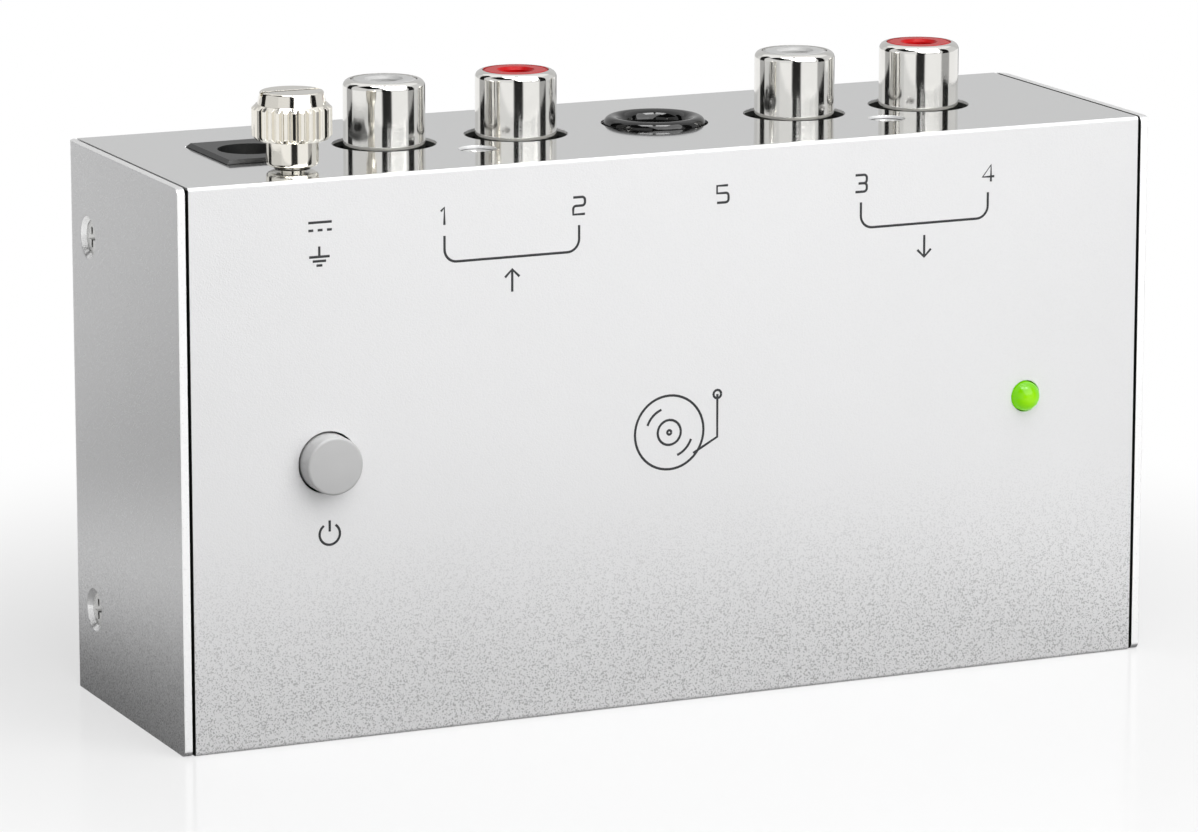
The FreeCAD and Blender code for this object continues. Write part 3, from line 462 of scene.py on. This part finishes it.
def ink_finish():
    """Dark print with a slightly uneven tone."""
    settings = bpy.context.scene.preamp_marks
    finish = Finish("screen print")
    speck = finish.noise(mm(0.12))
    tone = finish.blend(speck, settings.ink, [c * 1.5 for c in settings.ink])
    return finish.surface(Base_Color=tone, Roughness=0.45 + speck * 0.1)


def dress(material, *names):
    """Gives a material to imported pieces, whose meshes stay as they are."""
    for name in names:
        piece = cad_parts[name]
        piece.data.materials.clear()
        piece.data.materials.append(material)


def deselect():
    if bpy.context.object and bpy.context.object.mode != "OBJECT":
        bpy.ops.object.mode_set(mode="OBJECT")
    bpy.ops.object.select_all(action="DESELECT")


def choose(piece):
    deselect()
    piece.select_set(True)
    bpy.context.view_layer.objects.active = piece


def settle(piece):
    """Puts the piece's place into its mesh, with its object at the origin."""
    choose(piece)
    bpy.ops.object.transform_apply(location=True, rotation=True, scale=True)
    return piece


def add_block(name, low, high):
    deselect()
    middle = [(a + b) / 2 for a, b in zip(low, high)]
    size = [b - a for a, b in zip(low, high)]
    bpy.ops.mesh.primitive_cube_add(size=1, location=middle)
    piece = bpy.context.object
    piece.name = name
    piece.scale = size
    return settle(piece)


def open_bench(piece, mode="FACE"):
    """Edit mode on the piece with nothing selected."""
    choose(piece)
    bpy.ops.object.mode_set(mode="EDIT")
    bpy.ops.mesh.select_mode(type=mode)
    bpy.ops.mesh.select_all(action="DESELECT")


def close_bench():
    bpy.ops.mesh.select_all(action="SELECT")
    bpy.ops.mesh.normals_make_consistent(inside=False)
    bpy.ops.object.mode_set(mode="OBJECT")


def pick_edges(piece, test):
    """Selects the edges for which test(first end, second end) is true."""
    bpy.ops.mesh.select_mode(type="EDGE")
    bpy.ops.mesh.select_all(action="DESELECT")
    mesh = bmesh.from_edit_mesh(piece.data)
    for edge in mesh.edges:
        edge.select_set(test(edge.verts[0].co, edge.verts[1].co))
    bmesh.update_edit_mesh(piece.data)


def near(a, b):
    return abs(a - b) < mm(0.01)


def smooth(piece, angle=35):
    choose(piece)
    bpy.ops.object.shade_smooth_by_angle(angle=math.radians(angle))
    return piece


def cut_away(piece, cutter, operation="DIFFERENCE"):
    choose(piece)
    change = piece.modifiers.new("cut", "BOOLEAN")
    change.operation = operation
    change.solver = "EXACT"
    change.object = cutter
    bpy.ops.object.modifier_apply(modifier=change.name)
    bpy.data.objects.remove(cutter)
    return piece


def finish_piece(piece, material, body, nodes):
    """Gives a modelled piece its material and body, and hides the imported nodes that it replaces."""
    piece.data.materials.clear()
    piece.data.materials.append(material)
    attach(piece, body)
    if nodes:
        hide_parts(*nodes)
    return piece


class PREAMP_OT_case(bpy.types.Operator):
    """Finish both bent sheets of the case"""
    bl_idname = "preamp.case"
    bl_label = "Case sheets"

    def execute(self, context):
        dress(cover_finish(), "front_cover")
        dress(base_finish(), "rear_base")
        return {"FINISHED"}


class PREAMP_OT_fasteners(bpy.types.Operator):
    """Finish the screws and the rubber feet"""
    bl_idname = "preamp.fasteners"
    bl_label = "Fasteners and feet"

    def execute(self, context):
        steel = nickel_finish("plated steel", (0.62, 0.62, 0.61), 0.24, mm(0.04))
        dress(steel, "cover_screws", "socket_fixing_screws", "board_screws", "board_standoffs", "ground_nut")
        rubber = plastic_finish("black rubber", (0.03, 0.03, 0.03), 0.72, mm(0.2), mm(0.02), mm(0.1))
        dress(rubber, "rubber_feet")
        return {"FINISHED"}


class PREAMP_OT_inside(bpy.types.Operator):
    """Finish the board and everything on it"""
    bl_idname = "preamp.inside"
    bl_label = "Inside pieces"

    def execute(self, context):
        dress(board_finish(), "circuit_board")
        black = plastic_finish("black moulding", (0.022, 0.026, 0.022), 0.42, mm(0.12), mm(0.006))
        dress(black, "input_socket_housing", "output_socket_housing", "switch_housing", "switch_base",
              "light_spacer", "opamp_chips", "voltage_regulator")
        spring = nickel_finish("gilt spring metal", (0.75, 0.62, 0.34), 0.22, mm(0.03))
        dress(spring, "phono_socket_contacts", "headphone_socket_springs", "power_inlet_spring")
        tin = nickel_finish("tinned metal", (0.72, 0.71, 0.68), 0.3, mm(0.03))
        dress(tin, "ground_lug", "switch_terminals", "light_leads", "switch_spring")
        dress(plastic_finish("white moulding", (0.8, 0.8, 0.77), 0.4, mm(0.1), mm(0.004)), "switch_plunger")
        dress(plastic_finish("green lead", (0.05, 0.3, 0.06), 0.45, mm(0.1), mm(0.004)), "ground_wire")
        dress(plastic_finish("can sleeve", (0.02, 0.03, 0.06), 0.3, mm(0.3), mm(0.003)),
              "electrolytic_capacitors")
        dress(plastic_finish("dipped red", (0.36, 0.04, 0.025), 0.25, mm(0.8), mm(0.03), mm(0.3)),
              "film_capacitors")
        dress(plastic_finish("blue lacquer", (0.12, 0.3, 0.5), 0.3, mm(0.3), mm(0.005)), "resistors")
        return {"FINISHED"}


class PREAMP_OT_button(bpy.types.Operator):
    """Turn the power button's cap with its square neck"""
    bl_idname = "preamp.button"
    bl_label = "Power button"

    def execute(self, context):
        settings = context.scene.preamp_button
        low, high = corners("power_button")
        x, z = (low.x + high.x) / 2, (low.z + high.z) / 2
        deselect()
        bpy.ops.mesh.primitive_cylinder_add(
            vertices=96, radius=(high.x - low.x) / 2, depth=settings.head,
            location=(x, low.y + settings.head / 2, z), rotation=(math.pi / 2, 0, 0))
        cap = settle(bpy.context.object)
        cap.name = "button_cap"
        half = settings.neck / 2
        overlap = mm(1)
        neck = add_block("button_neck", (x - half, low.y + settings.head - overlap, z - half),
                         (x + half, high.y, z + half))
        cut_away(cap, neck, "UNION")
        open_bench(cap, "EDGE")
        pick_edges(cap, lambda a, b: near(a.y, low.y) and near(b.y, low.y))
        bpy.ops.mesh.bevel(offset=settings.rim, segments=5, affect="EDGES")
        close_bench()
        grey = plastic_finish("grey button", settings.colour, 0.42, mm(0.1), mm(0.003))
        finish_piece(smooth(cap), grey, "button", ("power_button",))
        return {"FINISHED"}


class PREAMP_OT_light(bpy.types.Operator):
    """Light the green lens"""
    bl_idname = "preamp.light"
    bl_label = "Status light"

    def execute(self, context):
        dress(light_finish(), "light_lens")
        return {"FINISHED"}


class PREAMP_OT_sockets(bpy.types.Operator):
    """Finish the sockets, the power inlet and the thumbscrew"""
    bl_idname = "preamp.sockets"
    bl_label = "Sockets, inlet and thumbscrew"

    def execute(self, context):
        gloss = plastic_finish("glossy black", (0.003, 0.003, 0.003), 0.07, mm(0.4), mm(0.001))
        dress(gloss, "headphone_socket_body")
        matt = plastic_finish("inlet black", (0.012, 0.013, 0.013), 0.4, mm(0.15), mm(0.006), mm(0.06))
        dress(matt, "power_inlet_body")
        nickel = nickel_finish("inlet pin nickel", (0.75, 0.73, 0.68), 0.15, mm(0.05))
        dress(nickel, "power_inlet_pin")
        settings = context.scene.preamp_connectors
        dress(nickel_finish("bright nickel", settings.nickel, 0.05, 0.0), "phono_socket_shells")
        dress(nickel_finish("warm nickel", settings.screw_nickel, 0.06), "ground_thumbscrew")
        white = plastic_finish("white insert", settings.left_insert, 0.4, mm(0.2), mm(0.002), sheen=0.25)
        dress(white, "left_channel_inserts")
        red = plastic_finish("red insert", settings.right_insert, 0.3, mm(0.2), mm(0.002), sheen=0.12)
        dress(red, "right_channel_inserts")
        return {"FINISHED"}


# Radius of the bends in a number, whose height is 1.
DIGIT_BEND = 0.18


def arc(x, z, radius, start, end, steps=10):
    """Points on an arc round (x, z), in degrees from +X towards +Z."""
    turns = [math.radians(start + (end - start) * k / steps) for k in range(steps + 1)]
    return [(x + radius * math.cos(a), z + radius * math.sin(a)) for a in turns]


def rounded(*parts):
    """A line of plain points and of quarter turns given as (x, z, start, end)."""
    line = []
    for part in parts:
        line += [part] if len(part) == 2 else arc(*part[:2], DIGIT_BEND, *part[2:], 4)
    return line


DIGITS = {
    1: [[(0.16, 0.8), (0.37, 1), (0.37, 0)]],
    2: [rounded((0, 1), (0.56, 0.82, 90, 0), (0.56, 0.68, 0, -90), (0.18, 0.32, 90, 180), (0, 0), (0.74, 0))],
    3: [rounded((0, 1), (0.56, 0.82, 90, 0), (0.56, 0.68, 0, -90), (0.2, 0.5)),
        rounded((0.56, 0.32, 90, 0), (0.56, 0.18, 0, -90), (0, 0))],
    4: [[(0.56, 0), (0.56, 1), (0, 0.3), (0.78, 0.3)]],
    5: [rounded((0.7, 1), (0, 1), (0, 0.56), (0.56, 0.38, 90, 0), (0.56, 0.18, 0, -90), (0, 0))],
}


def digit(number, x, z, height):
    """Strokes of a plain number centred on x with its foot at z, in millimetres."""
    return [[(x + (px - 0.37) * height, z + pz * height) for px, pz in line] for line in DIGITS[number]]


def arrow(x, z, way):
    """An arrow towards the sockets (way 1) or away from them (way -1)."""
    head = [(x - 0.75, z + 0.35 * way), (x, z + 1.1 * way), (x + 0.75, z + 0.35 * way)]
    return [[(x, z - 1.1 * way), (x, z + 1.1 * way)], head]


def bracket(left, right, top, low, corner):
    """The line that ties a left and a right socket to the arrow under them."""
    return [[(left, top)] + arc(left + corner, low + corner, corner, 180, 270)
            + arc(right - corner, low + corner, corner, 270, 360) + [(right, top)]]


def supply_sign(x, z):
    """A full line over three dashes: direct current."""
    half, apart, rise = 1.2, 0.95, 0.38
    dash = 0.25
    line = [(x - half, z + rise), (x + half, z + rise)]
    return [line] + [[(x + k * apart - dash, z - rise), (x + k * apart + dash, z - rise)] for k in (-1, 0, 1)]


def earth_sign(x, z):
    """A stem over three bars that get shorter: earth."""
    apart = 0.42
    bars = [[(x - half, z - k * apart), (x + half, z - k * apart)] for k, half in enumerate((1.05, 0.68, 0.3))]
    return [[(x, z + 1.0), (x, z)]] + bars


def power_sign(x, z):
    """An open ring with a stem in its gap: power."""
    return [arc(x, z, 1.05, 125, 415, 24), [(x, z + 0.25), (x, z + 1.35)]]


def record_sign(x, z):
    """A record with its arm, the plain sign for what is plugged into the box."""
    rings = [arc(x, z, radius, 0, 360, steps) for radius, steps in ((3.7, 48), (1.25, 24), (0.22, 10))]
    shine = [arc(x, z, 2.5, start, start + 50, 8) for start in (110, 290)]
    pivot = (x + 5.2, z + 3.4)
    arm = [pivot, (x + 5.2, z - 0.9), (x + 2.6, z - 2.3)]
    return rings + shine + [arm, arc(*pivot, 0.42, 0, 360, 12)]


def front_marks(height):
    """Every printed line of the front sheet by mark name, in millimetres.

    Places are X from the middle of the case and Z above the face that it stands on.
    """
    pitch, number_foot, line_top, line_foot, corner = 14.13, 49.87, 48.8, 46.22, 1.25
    marks = {
        "supply_mark": supply_sign(-37.6, 50.7),
        "ground_mark": earth_sign(-37.7, 47.75),
        "power_mark": power_sign(-36.9, 20.6),
        "record_mark": record_sign(-1.0, 27.4),
        "large_socket_mark": digit(5, 4.7, 49.9, height),
    }
    for name, number, left, way in (("input", 1, -24.8, 1), ("output", 3, 19.8, -1)):
        right = left + pitch
        channels = digit(number, left, number_foot, height) + digit(number + 1, right, number_foot, height)
        ties = bracket(left, right, line_top, line_foot, corner)
        marks[name + "_mark"] = channels + ties + arrow((left + right) / 2, 43.9, way)
    return marks


class PREAMP_OT_marks(bpy.types.Operator):
    """Print the plain marks on the front sheet"""
    bl_idname = "preamp.marks"
    bl_label = "Printed marks"

    def execute(self, context):
        settings = context.scene.preamp_marks
        ink = ink_finish()
        for name, strokes in front_marks(settings.digit / MM).items():
            mark = self.draw_mark(name, strokes, settings)
            finish_piece(mark, ink, "case", ())
        return {"FINISHED"}

    def draw_mark(self, name, strokes, settings):
        """Round lines pressed flat on the printed face."""
        deselect()
        bpy.ops.curve.primitive_nurbs_path_add()
        mark = bpy.context.object
        mark.name = name
        lines = mark.data
        lines.splines.clear()
        for stroke in strokes:
            line = lines.splines.new("POLY")
            line.points.add(len(stroke) - 1)
            for point, (x, z) in zip(line.points, stroke):
                point.co = (mm(x), 0, mm(z), 1)
        lines.bevel_depth = settings.stroke / 2
        lines.bevel_resolution = 2
        lines.use_fill_caps = True
        bpy.ops.object.convert(target="MESH")
        mark.scale = (1, settings.film / settings.stroke * 2, 1)
        mark.location = (0, PRINTED_FACE - settings.film * 0.4, 0)
        return settle(mark)


class PREAMP_OT_stage(bpy.types.Operator):
    """Set the floor, the lamps and the camera"""
    bl_idname = "preamp.stage"
    bl_label = "Studio"

    def execute(self, context):
        settings = context.scene.preamp_studio
        context.scene.view_settings.view_transform = "Standard"
        self.make_sky(context, settings)
        self.make_floor(settings)
        self.make_cards(settings)
        self.add_lamp("key lamp", KEY_PLACE, KEY_AIM, KEY_SIZE, settings.key)
        self.make_camera(context, settings)
        return {"FINISHED"}

    def make_sky(self, context, settings):
        world = bpy.data.worlds.new("even sky")
        context.scene.world = world
        world.use_nodes = True
        sky = Finish("sky", world.node_tree)
        seen = sky.seen_directly()
        even = sky.node("ShaderNodeBackground", None, {"Color": (1, 1, 1), "Strength": settings.sky})
        white = sky.node("ShaderNodeBackground", None, {"Color": (1, 1, 1), "Strength": 1.0})
        both = sky.node("ShaderNodeMixShader", None, {0: seen, 1: even, 2: white})
        sky.output(both, "ShaderNodeOutputWorld")

    def make_floor(self, settings):
        deselect()
        bpy.ops.mesh.primitive_plane_add(size=FLOOR_SIZE, location=(0, 0, 0))
        floor = bpy.context.object
        floor.name = "floor"
        finish = Finish("pale floor")
        seen = finish.seen_directly()
        paint = finish.node("ShaderNodeBsdfDiffuse", None, {"Color": tuple(settings.floor)})
        bounce = finish.node("ShaderNodeBsdfDiffuse", None, {"Color": tuple(settings.bounce)})
        white = finish.node("ShaderNodeEmission", None, {"Color": (1, 1, 1), "Strength": 1.0})
        lacquer = finish.node("ShaderNodeBsdfGlossy", None, {"Color": (1, 1, 1), "Roughness": 0.12})
        x, y, z = finish.axes()
        reach = (x * x + y * y) ** 0.5
        shade_start = settings.shade_reach * 0.45
        glow = finish.fade(reach, shade_start, settings.shade_reach, settings.floor_glow, 1.0)
        pale = finish.node("ShaderNodeMixShader", None, {0: glow, 1: paint, 2: white})
        shown = finish.node("ShaderNodeMixShader", None, {0: (1 - glow) * 0.25, 1: pale, 2: lacquer})
        both = finish.node("ShaderNodeMixShader", None, {0: seen, 1: bounce, 2: shown})
        # Painted shade: the floor goes dark round the object's foot for glossy rays only, standing in for its
        # shadow as the metal reflects it; the dark lanes lie further out.
        foot = finish.fade(reach, settings.shade_reach * 0.42, settings.shade_reach * 0.78, 0.75, 0.0)
        dark = foot.largest(self.mirrored_lanes(finish, settings, x, y) * reach.above(settings.shade_reach))
        black = finish.node("ShaderNodeBsdfDiffuse", None, {"Color": tuple(settings.card)})
        both = finish.node("ShaderNodeMixShader", None, {0: finish.ray("Glossy") * dark, 1: both, 2: black})
        finish.output(both)
        floor.data.materials.append(finish.material)

    def mirrored_lanes(self, finish, settings, x, y):
        """Dark lanes on the floor, as turned metal mirrors them: gaps between the studio's white screens."""
        sine, cosine = math.sin(settings.camera_yaw), math.cos(settings.camera_yaw)
        across = x * cosine - y * sine
        along = (x * sine + y * cosine) * -1
        turn = across.math("ARCTAN2", across, along)
        lanes = None
        for middle, half, depth in LANES:
            off = (turn - math.radians(middle)).absolute()
            lane = finish.fade(off, math.radians(half * 0.8), math.radians(half * 1.2), depth, 0.0)
            lanes = lanes.largest(lane) if lanes else lane
        return lanes

    def make_cards(self, settings):
        """Cards which only mirrors see: pale ones all round, and dark ones before them and above the front."""
        ahead = Vector((math.sin(settings.camera_yaw), math.cos(settings.camera_yaw), 0))
        for name, turn, level in PALE_CARDS:
            pale = Finish(name)
            glow = {"Color": (level, level, level), "Strength": 1.0}
            pale.output(pale.node("ShaderNodeEmission", None, glow))
            self.add_card(settings, name, turn, PALE_DISTANCE, PALE_DISTANCE * 2, pale.material)
        finish = Finish("dark card")
        finish.output(finish.node("ShaderNodeBsdfDiffuse", None, {"Color": tuple(settings.card)}))
        for name, turn, width in DARK_CARDS:
            self.add_card(settings, name, turn, DARK_DISTANCE, width, finish.material)
        self.add_flat(settings, "dark ceiling", ahead * CEILING_AHEAD, CEILING_HEIGHT, CEILING_SIZE,
                      finish.material)

        bright = Finish("bright screen")
        glow = {"Color": (1, 1, 1), "Strength": settings.screen}
        bright.output(bright.node("ShaderNodeEmission", None, glow))
        aside = Vector((ahead.y, -ahead.x, 0))
        for side in (-1, 1):
            place = ahead * SCREEN_AHEAD + aside * side * SCREEN_ASIDE
            self.add_flat(settings, "bright screen", place, SCREEN_HEIGHT, SCREEN_SIZE, bright.material)

    def add_flat(self, settings, name, place, height, size, material):
        """A level card overhead, turned with the camera's view."""
        deselect()
        bpy.ops.mesh.primitive_plane_add(size=1, location=place + Vector((0, 0, height)))
        card = bpy.context.object
        card.name = name
        card.scale = size
        card.rotation_euler = (0, 0, -settings.camera_yaw)
        self.keep_for_mirrors(card, material)

    def add_card(self, settings, name, turn, distance, width, material):
        """An upright card, turned about the object from the camera's direction."""
        angle = settings.camera_yaw + math.radians(turn)
        way = Vector((-math.sin(angle), -math.cos(angle), 0))
        deselect()
        bpy.ops.mesh.primitive_plane_add(size=1, location=way * distance + Vector((0, 0, CARD_MIDDLE)))
        card = bpy.context.object
        card.name = name
        card.scale = (width, 1.0, 1)
        card.rotation_euler = way.to_track_quat("Z", "Y").to_euler()
        self.keep_for_mirrors(card, material)

    def keep_for_mirrors(self, card, material):
        """Hides the card from all but glossy rays."""
        card.data.materials.append(material)
        card.visible_camera = False
        card.visible_diffuse = False
        card.visible_shadow = False
        settle(card)

    def add_lamp(self, name, place, aim, size, power):
        deselect()
        bpy.ops.object.light_add(type="AREA", location=place)
        lamp = bpy.context.object
        lamp.name = name
        lamp.data.size = size
        lamp.data.energy = power
        way = Vector(aim) - Vector(place)
        lamp.rotation_euler = way.to_track_quat("-Z", "Y").to_euler()

    def make_camera(self, context, settings):
        deselect()
        turn = (math.pi / 2 - settings.camera_pitch, 0, -settings.camera_yaw)
        bpy.ops.object.camera_add(location=settings.camera_place, rotation=turn)
        camera = bpy.context.object
        camera.name = "camera"
        camera.data.sensor_width = 36
        camera.data.lens = settings.camera_lens
        camera.data.shift_x = settings.camera_shift
        camera.data.clip_start = 0.01
        context.scene.camera = camera


class PREAMP_PT_panel(bpy.types.Panel):
    """Every step of the preamp's looks"""
    bl_idname = "PREAMP_PT_panel"
    bl_label = "Preamp"
    bl_space_type = "VIEW_3D"
    bl_region_type = "UI"
    bl_category = "Preamp"

    def draw(self, context):
        for group in ("preamp_case", "preamp_connectors", "preamp_button", "preamp_marks", "preamp_studio"):
            box = self.layout.box()
            settings = getattr(context.scene, group)
            for key in settings.bl_rna.properties.keys():
                if key not in ("rna_type", "name"):
                    box.prop(settings, key)
        for step in STEPS:
            self.layout.operator(step.bl_idname)


GROUPS = {
    "preamp_case": CaseSettings,
    "preamp_connectors": ConnectorSettings,
    "preamp_button": ButtonSettings,
    "preamp_marks": MarkSettings,
    "preamp_studio": StudioSettings,
}
STEPS = (
    PREAMP_OT_case,
    PREAMP_OT_fasteners,
    PREAMP_OT_inside,
    PREAMP_OT_button,
    PREAMP_OT_light,
    PREAMP_OT_sockets,
    PREAMP_OT_marks,
    PREAMP_OT_stage,
)


def register():
    for name, group in GROUPS.items():
        bpy.utils.register_class(group)
        setattr(bpy.types.Scene, name, bpy.props.PointerProperty(type=group))
    for step in STEPS:
        bpy.utils.register_class(step)
    bpy.utils.register_class(PREAMP_PT_panel)


def unregister():
    bpy.utils.unregister_class(PREAMP_PT_panel)
    for step in reversed(STEPS):
        bpy.utils.unregister_class(step)
    for name, group in GROUPS.items():
        delattr(bpy.types.Scene, name)
        bpy.utils.unregister_class(group)


def main():
    register()
    for step in STEPS:
        group, name = step.bl_idname.split(".")
        getattr(getattr(bpy.ops, group), name)()


if __name__ == "__main__":
    main()
